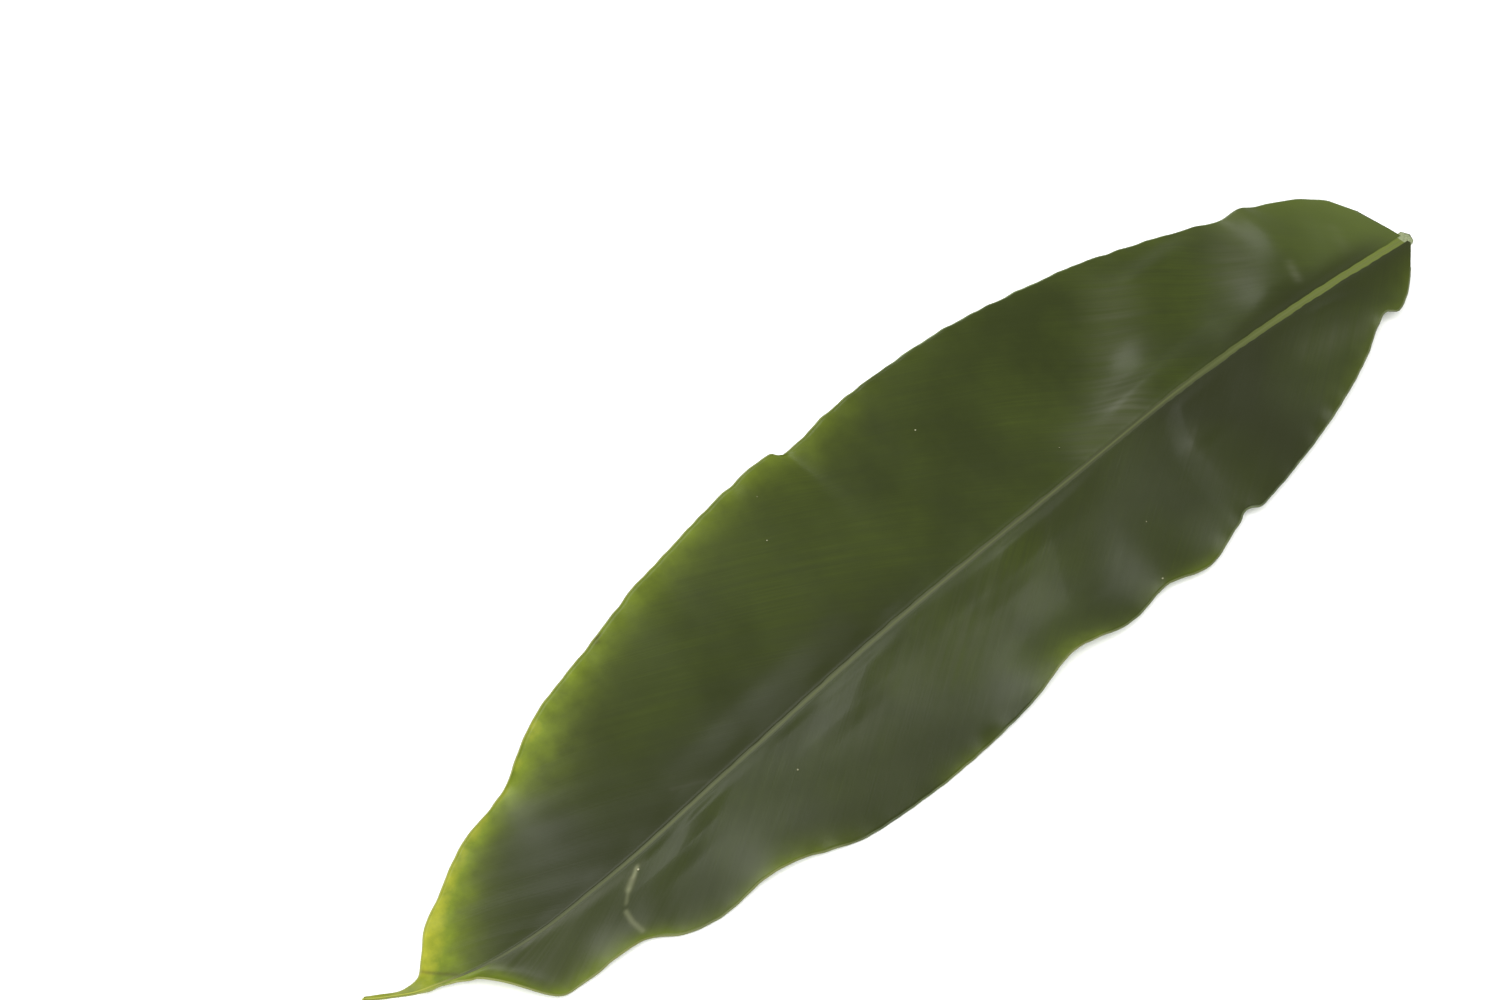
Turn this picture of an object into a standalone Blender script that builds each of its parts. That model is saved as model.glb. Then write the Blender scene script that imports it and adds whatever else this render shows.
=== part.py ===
"""A cardamom leaf, picked and lying on a table.

The leaf is drawn in plan, in millimetres: stations run along it from the cut end of the midrib
to the tip, and offsets run across it, with the left half positive. Each point of the plan then
gets a height above the table. The blade sags in three places, where it rests on a low point
each, and rises to waved edges, and small folds cross it where it was bent.
"""

import math
from dataclasses import dataclass

import bmesh
import bpy
import numpy as np

MM = 0.001

# Thicknesses and the midrib's section.
BLADE_THICKNESS = 0.7
KEEL_DEPTH = ((6, 2.4), (90, 1.7), (200, 1.2), (300, 0.7), (361, 0.2))
KEEL_HALF_WIDTH = ((6, 2.3), (90, 1.8), (200, 1.4), (300, 1.0), (350, 0.7), (361, 0.3))
CHANNEL_DEPTH = 0.5

# The cut end of the midrib: how far it stands out, and how much less at its two sides.
STUB_LENGTH = 2.5
STUB_ROUNDING = 0.5

# The plan: the midrib's line, and the outline of each half from its base corner to the tip.
MIDRIB_PLAN = (
    (6, 3.2), (42, 0.2), (82, -1.0), (141, 1.6), (201, 4.8), (261, 10.6), (302, 15.0),
    (322, 15.8), (336, 14.0), (346, 10.8), (351, 8.9), (355, 6.4), (358, 4.4), (360.5, 2.5),
)
LEFT_OUTLINE = (
    (12, 11.3), (17, 15.0), (22, 17.8), (26.4, 19.4), (29.2, 17.4), (34, 18.9), (44, 23.9),
    (62, 30.7), (82, 35.7), (99, 39.4), (104.2, 40.9), (106.4, 39.4), (113, 40.6), (129, 44.4),
    (139, 42.9), (157, 43.4), (173, 42.3), (190, 44.4), (203, 45.7), (233, 46.7), (248, 45.4),
    (262, 41.0), (272, 39.5), (288, 39.2), (297, 37.0), (301, 34.2), (310, 32.7), (320, 32.2),
    (328, 30.4), (332, 25.6), (336, 19.9), (339.5, 15.6), (344, 12.5), (348.5, 11.0), (352, 8.3),
    (356, 5.5), (358.6, 4.0), (360.9, 2.9),
)
RIGHT_OUTLINE = (
    (6, -13.5), (8.6, -21.2), (12, -26.0), (20, -31.2), (28.5, -35.0), (35.5, -36.2), (44, -39.5),
    (56, -43.4), (70, -46.4), (106, -50.9), (142, -53.2), (170, -52.0), (183, -49.8),
    (187, -49.8), (191, -50.8), (197, -50.8), (206, -50.0), (232, -45.2), (243, -43.0),
    (268, -35.4), (285, -29.6), (303, -19.2), (322, -11.8), (332, -6.4), (339, -2.2),
    (344, 2.8), (348, 6.7), (353, 6.5), (357, 3.9), (360.1, 1.9),
)

# The middle of the leaf's box in the plan, where the object has its origin.
MIDDLE = (182.1, -3.3)

# The sheet's cross lines: where the line from each station of the midrib meets the edge.
LEFT_LINES = ((6, 12), (42, 27.8), (93, 105.3), (288, 299), (360.5, 360.9))
RIGHT_LINES = ((6, 6), (40, 36), (182, 189), (360.5, 360.1))

# Heights above the table: the keel's underside, then the blade's underside along each edge.
KEEL_LIFT = ((6, 3.6), (40, 1.6), (85, 0.3), (110, 0), (245, 0), (285, 0.5), (320, 1.8), (361, 1.2))
LEFT_LEVEL = (
    (6, 5.2), (24, 4.6), (60, 3.6), (100, 3.2), (140, 2.4), (200, 2.2), (240, 0.8), (288, 0.4),
    (325, 0.4), (340, 2.6), (361, 1.6),
)
RIGHT_LEVEL = (
    (6, 4.6), (36, 4.2), (58, 5.6), (85, 9.3), (127, 12.2), (156, 11.6), (206, 10.4),
    (243, 8.3), (284, 7.2), (303, 4.6), (323, 5.6), (338, 4.3), (350, 3.2), (361, 1.6),
)
LEVEL_RISE = 1.6

# Waves of the edge: the station of each, its height and its half length.
LEFT_WAVES = (
    (60, 1.0, 14), (128, -1.6, 6), (139, 4.0, 6), (173, 7.5, 9), (268, 5.0, 8), (311, 3.0, 7),
    (335, 3.0, 6),
)
RIGHT_WAVES = ((31, 1.8, 5), (187, -1.2, 4), (243, 0.8, 6), (303, -1.6, 7))
WAVE_RISE = 2.6

# Soft dents where the blade sags flat: station, offset, depth, half length, half width.
DENTS = ((92, -21, 5, 30, 14), (244, -5, 4, 34, 12), (160, 22, 4, 34, 14))
TABLE_SOFTNESS = 0.4

# Three low points carry the leaf, round its weight: their places, and how far they reach down
# below the flat spots of the dents.
FEET = ((92, -19), (248, -6), (160, 24))
FOOT_DEPTH = 0.15

# Folds along a cross line: the line's station, its width, the rise past it and how far that lasts.
LEFT_FOLDS = ((42, 3.0, 2.6, 24), (93, 3.0, 3.6, 16), (288, 2.4, 3.4, 20))
RIGHT_FOLDS = ((182, 3.0, 1.6, 14),)
FOLD_RISE = 1.3

# Other cross lines keep this share of a fold's width away from its middle.
FOLD_GAP = 0.75

# How finely the sheet is divided.
LINES = 88
BLADE_STEPS = 9
KEEL_STEPS = 2


def smooth(points, at):
    """A smooth curve through (station, value) points, read at one or many stations."""
    stations, values = np.array(points, float).T
    slopes = np.gradient(values, stations)
    at = np.clip(at, stations[0], stations[-1])
    left = np.clip(np.searchsorted(stations, at) - 1, 0, len(stations) - 2)
    span = stations[left + 1] - stations[left]
    u = (at - stations[left]) / span
    return (
        values[left] * (1 + 2 * u) * (1 - u) ** 2
        + values[left + 1] * u**2 * (3 - 2 * u)
        + span * slopes[left] * u * (1 - u) ** 2
        - span * slopes[left + 1] * u**2 * (1 - u)
    )


def swell(distance, half_length):
    """A rounded hump, 1 at its middle and fading on both sides."""
    return math.exp(-((distance / half_length) ** 2))


def blend(distance, width):
    """A soft step from 0 to 1 across this width, its middle at distance 0."""
    u = min(max(distance / width + 0.5, 0), 1)
    return u * u * (3 - 2 * u)


@dataclass
class Half:
    """One half of the blade, to one side of the midrib."""

    sign: int
    outline: tuple
    lines: tuple
    level: tuple
    waves: tuple
    folds: tuple

    def plan(self, root, share):
        """A point of the plan, this share of the way from the keel to the edge."""
        keel = smooth(MIDRIB_PLAN, root) + self.sign * smooth(KEEL_HALF_WIDTH, root)
        end = smooth(self.lines, root)
        edge = smooth(self.outline, end)
        return root + (end - root) * share, keel + (edge - keel) * share

    def height(self, root, share, along, across):
        """The height of the blade's underside, before the table holds it up."""
        middle = midrib_height(root)
        height = middle + (smooth(self.level, along) - middle) * share**LEVEL_RISE
        for station, rise, half_length in self.waves:
            height += rise * swell(along - station, half_length) * share**WAVE_RISE
        for station, width, rise, reach in self.folds:
            past = math.exp(-max(root - station, 0) / reach)
            height += rise * blend(root - station, width) * past * share**FOLD_RISE
        for station, offset, depth, half_length, half_width in DENTS:
            height -= depth * swell(along - station, half_length) * swell(across - offset, half_width)
        return height


LEFT = Half(1, LEFT_OUTLINE, LEFT_LINES, LEFT_LEVEL, LEFT_WAVES, LEFT_FOLDS)
RIGHT = Half(-1, RIGHT_OUTLINE, RIGHT_LINES, RIGHT_LEVEL, RIGHT_WAVES, RIGHT_FOLDS)


def channel_depth(root):
    """The depth of the groove along the midrib's upper side, which runs out towards the tip."""
    return CHANNEL_DEPTH * smooth(KEEL_HALF_WIDTH, root) / KEEL_HALF_WIDTH[0][1]


def midrib_height(root):
    """The height of the blade's underside beside the keel."""
    lift = max(smooth(KEEL_LIFT, root), 0)
    return lift + smooth(KEEL_DEPTH, root) + channel_depth(root) + TABLE_SOFTNESS


def on_table(height):
    """The height once the blade has sagged flat at 0, rounded where it lifts off."""
    if height <= 0:
        return 0.0
    if height < 2 * TABLE_SOFTNESS:
        return height**2 / (4 * TABLE_SOFTNESS)
    return height - TABLE_SOFTNESS


def line_roots():
    """The stations of the cross lines on the midrib: even ones, and a close pair for each fold."""
    even = np.linspace(MIDRIB_PLAN[0][0], MIDRIB_PLAN[-1][0], LINES)
    pairs = []
    for station, width, *_ in LEFT_FOLDS + RIGHT_FOLDS:
        even = even[abs(even - station) > width * FOLD_GAP]
        pairs += [station - width / 2, station, station + width / 2]
    return sorted([*even, *pairs])


def leaf_point(root, column):
    """A point of the upper side, and its thickness. Columns count outwards from the midrib."""
    half = LEFT if column >= 0 else RIGHT
    step = abs(column)
    if step > KEEL_STEPS:
        share = (step - KEEL_STEPS) / BLADE_STEPS
        along, across = half.plan(root, share)
        swelling = 0.0
        height = half.height(root, share, along, across)
    else:
        out = step / KEEL_STEPS
        along = root
        across = smooth(MIDRIB_PLAN, root) + half.sign * smooth(KEEL_HALF_WIDTH, root) * out
        if root == MIDRIB_PLAN[0][0]:
            along -= STUB_LENGTH * (1 - STUB_ROUNDING * out)
        swelling = math.sqrt(1 - out**2)
        height = midrib_height(root)
    thickness = BLADE_THICKNESS + smooth(KEEL_DEPTH, root) * swelling
    top = FOOT_DEPTH + on_table(height) + BLADE_THICKNESS - channel_depth(root) * swelling
    return (along, across, top), thickness


def lower_feet(sheet):
    """Brings the point of the sheet nearest to each foot down to the table."""
    for foot in FEET:
        spot = (np.array(foot) - MIDDLE) * MM
        nearest = min(sheet.verts, key=lambda vert: math.dist(vert.co.xy, spot))
        nearest.co.z -= FOOT_DEPTH * MM


def leaf_sheet():
    """The upper side as an open mesh. Each point's weight is its share of the full thickness."""
    roots = line_roots()
    reach = BLADE_STEPS + KEEL_STEPS
    sheet = bmesh.new()
    bmesh.ops.create_grid(sheet, x_segments=len(roots) - 1, y_segments=2 * reach, size=0.5)
    weights = sheet.verts.layers.deform.verify()
    thickest = BLADE_THICKNESS + KEEL_DEPTH[0][1]
    for vert in sheet.verts:
        line = round((vert.co.x + 0.5) * (len(roots) - 1))
        column = round((vert.co.y + 0.5) * 2 * reach) - reach
        point, thickness = leaf_point(roots[line], column)
        vert.co = (np.array(point) - (*MIDDLE, 0)) * MM
        vert[weights][0] = thickness / thickest
    lower_feet(sheet)
    bmesh.ops.triangulate(sheet, faces=sheet.faces, quad_method="SHORT_EDGE")
    mesh = bpy.data.meshes.new("leaf")
    sheet.to_mesh(mesh)
    sheet.free()
    return mesh, thickest


def leaf_green():
    """The fresh green of the upper side, waxy and not very shiny."""
    material = bpy.data.materials.new("leaf_green")
    material.use_nodes = True
    shader = material.node_tree.nodes["Principled BSDF"]
    shader.inputs["Base Color"].default_value = (0.045, 0.068, 0.016, 1)
    shader.inputs["Roughness"].default_value = 0.42
    shader.inputs["Metallic"].default_value = 0.0
    return material


def build_leaf(collection):
    """The leaf as one closed solid, lying on the table with its box centred on the origin."""
    mesh, thickest = leaf_sheet()
    mesh.materials.append(leaf_green())
    mesh.shade_smooth()
    leaf = bpy.data.objects.new("leaf", mesh)
    collection.objects.link(leaf)
    leaf.vertex_groups.new(name="thickness")
    shell = leaf.modifiers.new("thickness", "SOLIDIFY")
    shell.thickness = thickest * MM
    shell.offset = -1
    shell.vertex_group = "thickness"


def main():
    """Clears the scene and builds the leaf in a collection of its own."""
    for old in list(bpy.data.objects):
        bpy.data.objects.remove(old)
    collection = bpy.data.collections.new("cardamom_leaf")
    bpy.context.scene.collection.children.link(collection)
    build_leaf(collection)


main()
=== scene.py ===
"""A picked cardamom leaf, lying on a pale table.

The leaf is drawn in plan, in millimetres, with the same named values as its solid: stations run
along it from the cut end of the midrib to the tip, and offsets run across it, with the left half
positive. Each half of the blade is a thin closed shell whose grid follows the veins, and the
midrib is a body between them. Ridges under the veins, the pale rim and the specks are laid on
them by Geometry Nodes.
"""

import logging
from dataclasses import dataclass
from enum import Enum
from math import inf
from typing import Any

import bpy
import numpy as np
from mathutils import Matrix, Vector

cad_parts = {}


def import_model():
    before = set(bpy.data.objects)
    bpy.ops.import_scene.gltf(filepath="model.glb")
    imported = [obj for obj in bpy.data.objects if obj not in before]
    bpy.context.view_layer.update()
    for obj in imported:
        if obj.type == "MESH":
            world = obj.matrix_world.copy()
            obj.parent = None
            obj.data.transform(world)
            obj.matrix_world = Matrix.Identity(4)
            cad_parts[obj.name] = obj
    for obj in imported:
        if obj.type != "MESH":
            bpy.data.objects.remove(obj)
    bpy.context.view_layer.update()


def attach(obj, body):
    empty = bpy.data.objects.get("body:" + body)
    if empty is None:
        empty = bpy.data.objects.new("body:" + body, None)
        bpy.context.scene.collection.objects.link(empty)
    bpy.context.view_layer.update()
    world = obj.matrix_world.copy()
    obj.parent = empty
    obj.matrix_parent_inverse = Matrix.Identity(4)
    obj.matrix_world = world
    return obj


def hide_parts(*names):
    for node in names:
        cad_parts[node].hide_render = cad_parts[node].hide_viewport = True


LOG = logging.getLogger("cardamom_leaf")

Numbers = float | np.ndarray
Points = tuple[tuple[float, ...], ...]
Material = bpy.types.Material
Piece = bpy.types.Object
Socket = bpy.types.NodeSocket
Tree = bpy.types.NodeTree

MM = 0.001
SEED = 7

# The middle of the leaf's box in the plan, where the object has its origin.
MIDDLE = (182.1, -3.3)

# The midrib: its line in plan, its half width, and the keel under it.
MIDRIB_PLAN = (
    (6, 3.2), (42, -0.4), (82, -1.8), (141, 0.9), (201, 4.5), (261, 10.6), (302, 15.0),
    (322, 15.8), (336, 14.0), (346, 10.8), (351, 8.9), (355, 6.4), (358, 4.4), (360.5, 2.5),
)
KEEL_DEPTH = ((6, 2.4), (90, 1.7), (200, 1.2), (300, 0.7), (361, 0.2))
KEEL_HALF_WIDTH = ((6, 2.3), (90, 1.8), (200, 1.4), (300, 1.0), (335, 0.6), (350, 0.3), (361, 0.2))
KEEL_LIFT = ((6, 3.6), (40, 1.6), (85, 0.3), (110, 0), (245, 0), (285, 0.5), (320, 1.8), (361, 1.2))

# The groove along its upper side: how deep the channel is, and what share of that shows.
CHANNEL_DEPTH = 0.5
GROOVE_SHARE = 0.22

# How the blade lies: the rounding where it lifts off the table, in the solid and in the softer
# real blade, the gap under its flat spots, and the least gap under anything.
TABLE_SOFTNESS = 0.4
SAG_SOFTNESS = 1.5
FLAT_GAP = 0.15
LEAST_GAP = 0.02

# How fast the edge's waves fade inwards.
WAVE_RISE = 2.6

# The hollows that rest on the table as (station, offset, depth, half length, half width), and
# the share of the way out where they begin, with the softness of that.
DENTS = ((92, -21, 4, 30, 14), (244, -5, 0.6, 34, 12), (170, 22, 2.4, 26, 15))
DENTS_BEGIN = 0.12
DENTS_SOFT = 0.24

# The real blade's thickness, which is less than the solid's.
BLADE = 0.42

# The real blade's unevenness, with its height and its shortest and longest wave in mm: over all
# of it, along its edge and how far in that reaches, and where the veins stand out near the tip.
# It fades over the last few millimetres towards the midrib.
RIPPLE, RIPPLE_WAVES = 0.09, (14, 40)
EDGE_RIPPLE, EDGE_WAVES, EDGE_REACH = 0.15, (5, 13), 3.0
STREAK_WAVES, STREAKS_FROM, STREAKS_SOFT = (7, 22), 285, 50
CALM_BESIDE_MIDRIB = 3.0

# How far the blade stops inside its outline, so that the rim stays inside it too: at least, and
# how much more where the edge is worn.
RIM_INSET = 0.35
RIM_WEAR = 0.15

# How strongly the waxy skin mirrors, where 0.5 is plain clear varnish, and how it bends light.
WAX_SHINE = 0.2
WAX_IOR = 1.45

# Where soft noise, which stays near a half, is taken as fully dark and as fully light.
NOISE_LOW = 0.35
NOISE_HIGH = 0.65

# A mark of 0 or 1 on the mesh is read as 0 under the first value and as 1 over the second.
NEARLY_NONE = 0.01
NEARLY_FULL = 0.99

# How sharply the yellowing of the edge ends inwards.
YELLOW_POWER = 1.3

# A station past the leaf's end.
BEYOND = 500


def linear(colour: str) -> tuple[float, float, float, float]:
    """Turns an sRGB hex colour into a linear one.

    Args:
        colour: The colour as "#rrggbb".

    Returns:
        Red, green, blue and an alpha of 1, linear.
    """
    parts = [int(colour[at:at + 2], 16) / 255 for at in (1, 3, 5)]
    bent = [part / 12.92 if part <= 0.04045 else ((part + 0.055) / 1.055) ** 2.4 for part in parts]
    return (*bent, 1.0)


def smooth(points: Points, at: Numbers) -> Numbers:
    """Reads a smooth curve through (station, value) points.

    Args:
        points: The curve's points, by rising station.
        at: One station or an array of them.

    Returns:
        The curve's value at each station.
    """
    stations, values = np.array(points, float).T
    slopes = np.gradient(values, stations)
    at = np.clip(at, stations[0], stations[-1])
    left = np.clip(np.searchsorted(stations, at) - 1, 0, len(stations) - 2)
    span = stations[left + 1] - stations[left]
    u = (at - stations[left]) / span
    return (
        values[left] * (1 + 2 * u) * (1 - u) ** 2
        + values[left + 1] * u**2 * (3 - 2 * u)
        + span * slopes[left] * u * (1 - u) ** 2
        - span * slopes[left + 1] * u**2 * (1 - u)
    )


def swell(distance: Numbers, half_length: float) -> Numbers:
    """A rounded hump, 1 at its middle and fading on both sides."""
    return np.exp(-((distance / half_length) ** 2))


def blend(distance: Numbers, width: Numbers) -> Numbers:
    """A soft step from 0 to 1 across this width, its middle at distance 0."""
    u = np.clip(distance / width + 0.5, 0, 1)
    return u * u * (3 - 2 * u)


def window(value: Numbers, low: float, high: float, soft: float) -> Numbers:
    """1 between low and high, fading to 0 within the soft distance outside them."""
    return blend(value - low + soft / 2, soft) * (1 - blend(value - high - soft / 2, soft))


def channel_depth(root: Numbers) -> Numbers:
    """The depth of the groove along the midrib's upper side, which runs out towards the tip."""
    return CHANNEL_DEPTH * smooth(KEEL_HALF_WIDTH, root) / KEEL_HALF_WIDTH[0][1]


def groove(beside: Numbers) -> Numbers:
    """The groove's section: its share of the full depth from the middle, 0, to its sides, 1."""
    return GROOVE_SHARE * (1 - beside**2) ** 2


def midrib_height(root: Numbers) -> Numbers:
    """The height of the blade's underside beside the keel."""
    lift = np.maximum(smooth(KEEL_LIFT, root), 0)
    return lift + smooth(KEEL_DEPTH, root) + channel_depth(root) + TABLE_SOFTNESS


def on_table(height: Numbers) -> Numbers:
    """The height once the blade has sagged flat at 0, rounded where it lifts off."""
    raised = np.maximum(height + SAG_SOFTNESS - TABLE_SOFTNESS, 0)
    sagged = raised**2 / (4 * SAG_SOFTNESS)
    return np.where(raised < 2 * SAG_SOFTNESS, sagged, raised - SAG_SOFTNESS)


def ripple(along: Numbers, across: Numbers, shortest: float, longest: float, seed: int) -> Numbers:
    """A faint unevenness of the surface, made of a few long waves.

    Args:
        along: The points' stations, in mm.
        across: The points' offsets, in mm.
        shortest: The shortest wave, in mm.
        longest: The longest wave, in mm.
        seed: The seed of the waves' directions and phases.

    Returns:
        A value from about -1 to 1 at each point.
    """
    draw = np.random.default_rng(seed)
    total = np.zeros(np.shape(along))
    count = 7
    for _ in range(count):
        length = draw.uniform(shortest, longest)
        turn = draw.uniform(0, 2 * np.pi)
        phase = draw.uniform(0, 2 * np.pi)
        travelled = along * np.cos(turn) + across * np.sin(turn)
        total = total + np.sin(2 * np.pi * travelled / length + phase)
    return total / np.sqrt(count)


class Change(Enum):
    """The changes of colour on the blade, each by the name of its measure on the mesh; one is
    painted shade and one painted sheen.
    """

    YELLOW = "yellow"
    YOUNG = "young"
    # Painted shade: a deep green where the blade lies in shade.
    PAINTED_SHADE = "painted_shade"
    # Painted sheen: grey where the blade catches the light.
    PAINTED_SHEEN = "wax"
    MARK = "mark"
    SCAR = "scar"


@dataclass(frozen=True)
class Spots:
    """Points on one half of the blade, each of these values an array in mm.

    Attributes:
        root: The station on the midrib of each point's vein.
        along: The points' stations.
        across: The points' offsets.
        out: The points' distances from the midrib.
        inside: The points' distances from the edge.
    """

    root: np.ndarray
    along: np.ndarray
    across: np.ndarray
    out: np.ndarray
    inside: np.ndarray


@dataclass(frozen=True)
class Zone:
    """A change of colour over a stretch of one half.

    Attributes:
        change: Which change it is.
        strength: How strong it is, from 0 to 1.
        low: The station from which it is full, in mm.
        high: The station up to which it is full, in mm.
        soft: How far beyond them it fades, in mm.
        out: How far from the midrib it has fallen to about a third, in mm.
        inside: How far from the edge it has fallen to about a third, in mm.
    """

    change: Change
    strength: float
    low: float
    high: float
    soft: float
    out: float = inf
    inside: float = inf

    def share(self, spots: Spots) -> np.ndarray:
        """How strong it is at each point."""
        faded = swell(spots.out, self.out) * np.exp(-spots.inside / self.inside)
        return self.strength * window(spots.along, self.low, self.high, self.soft) * faded


@dataclass(frozen=True)
class Stroke:
    """A change of colour along a drawn line.

    Attributes:
        change: Which change it is.
        strength: How strong it is, from 0 to 1.
        line: The line's corners as (station, offset).
        width: How far from the line it has fallen to about a third, in mm.
    """

    change: Change
    strength: float
    line: Points
    width: float

    def share(self, spots: Spots) -> np.ndarray:
        """How strong it is.

        Args:
            spots: The points.

        Returns:
            The strength at each point.
        """
        nearest = np.full(spots.along.shape, inf)
        for (x0, y0), (x1, y1) in zip(self.line, self.line[1:]):
            along, across, run_x, run_y = spots.along - x0, spots.across - y0, x1 - x0, y1 - y0
            part = np.clip((along * run_x + across * run_y) / (run_x**2 + run_y**2), 0, 1)
            nearest = np.minimum(nearest, np.hypot(along - part * run_x, across - part * run_y))
        return self.strength * swell(nearest, self.width)


@dataclass(frozen=True)
class Crease:
    """A soft crease across one half, with a broad slope on its tip side that catches the light.

    Attributes:
        line: Its line, as (distance from the midrib's axis, station).
        height: How far it stands up, in mm.
        back: The length of the slope on the base side, in mm along the leaf.
        front: The length of the slope on the tip side, in mm along the leaf.
        fading: Over what distance it fades past the ends of its line, in mm.
        power: How fast the tip side falls from its crest: 1 is even, and more is steeper there.
    """

    line: Points
    height: float
    back: float
    front: float
    fading: float = 5.0
    power: float = 1.4

    def relief(self, spots: Spots) -> np.ndarray:
        """The crease's height.

        Args:
            spots: The points.

        Returns:
            The height at each point, in mm.
        """
        gaps, stations = np.array(self.line, float).T
        axis_gap = np.abs(spots.across - smooth(MIDRIB_PLAN, spots.along))
        offset = spots.along - np.interp(axis_gap, gaps, stations)
        slope = np.where(offset < 0, 1 + offset / self.back, 1 - offset / self.front)
        slope = np.clip(slope, 0, 1)
        rounded = np.where(offset < 0, slope * slope * (3 - 2 * slope), slope**self.power)
        return self.height * rounded * window(axis_gap, gaps[0], gaps[-1], self.fading)


@dataclass(frozen=True)
class Fold:
    """A fold across one half, crisp at the edge and spreading out towards the midrib.

    Attributes:
        station: Where its line meets the midrib, in mm.
        edge_width: How wide its step is at the edge, in mm.
        root_width: How wide its step is at the midrib, in mm.
        rise: How much higher the blade is past it at the edge, in mm.
        reach: How far that lasts, in mm.
        power: How fast the rise fades inwards.
    """

    station: float
    edge_width: float
    root_width: float
    rise: float
    reach: float
    power: float

    def relief(self, root: Numbers, share: Numbers) -> Numbers:
        """The fold's height.

        Args:
            root: The stations on the midrib of the points' cross lines.
            share: The points' shares of the way out.

        Returns:
            The height at each point, in mm.
        """
        width = self.root_width + (self.edge_width - self.root_width) * share
        past = np.exp(-np.maximum(root - self.station, 0) / self.reach)
        return self.rise * blend(root - self.station, width) * past * share**self.power


@dataclass(frozen=True)
class Band:
    """A broad swelling that runs out from the midrib at a slant.

    Attributes:
        place: The station where its crest meets the midrib, in mm.
        lean: How far back the crest runs for each mm that it runs outwards.
        height: How far it stands up, in mm.
        rise: The half length of its slope towards the base, in mm.
        fall: The half length of its slope towards the tip, in mm.
        starts: The distance from the midrib where it begins, in mm.
        ends: The distance from the midrib where it fades, in mm.
        soft: Over what distance it begins and fades, in mm.
    """

    place: float
    lean: float
    height: float
    rise: float
    fall: float
    starts: float
    ends: float
    soft: float = 8.0

    def relief(self, spots: Spots) -> np.ndarray:
        """The band's height.

        Args:
            spots: The points.

        Returns:
            The height at each point, in mm.
        """
        offset = spots.along + self.lean * spots.out - self.place
        hump = np.where(offset < 0, swell(offset, self.rise), swell(offset, self.fall))
        return self.height * hump * window(spots.out, self.starts, self.ends, self.soft)


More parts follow.
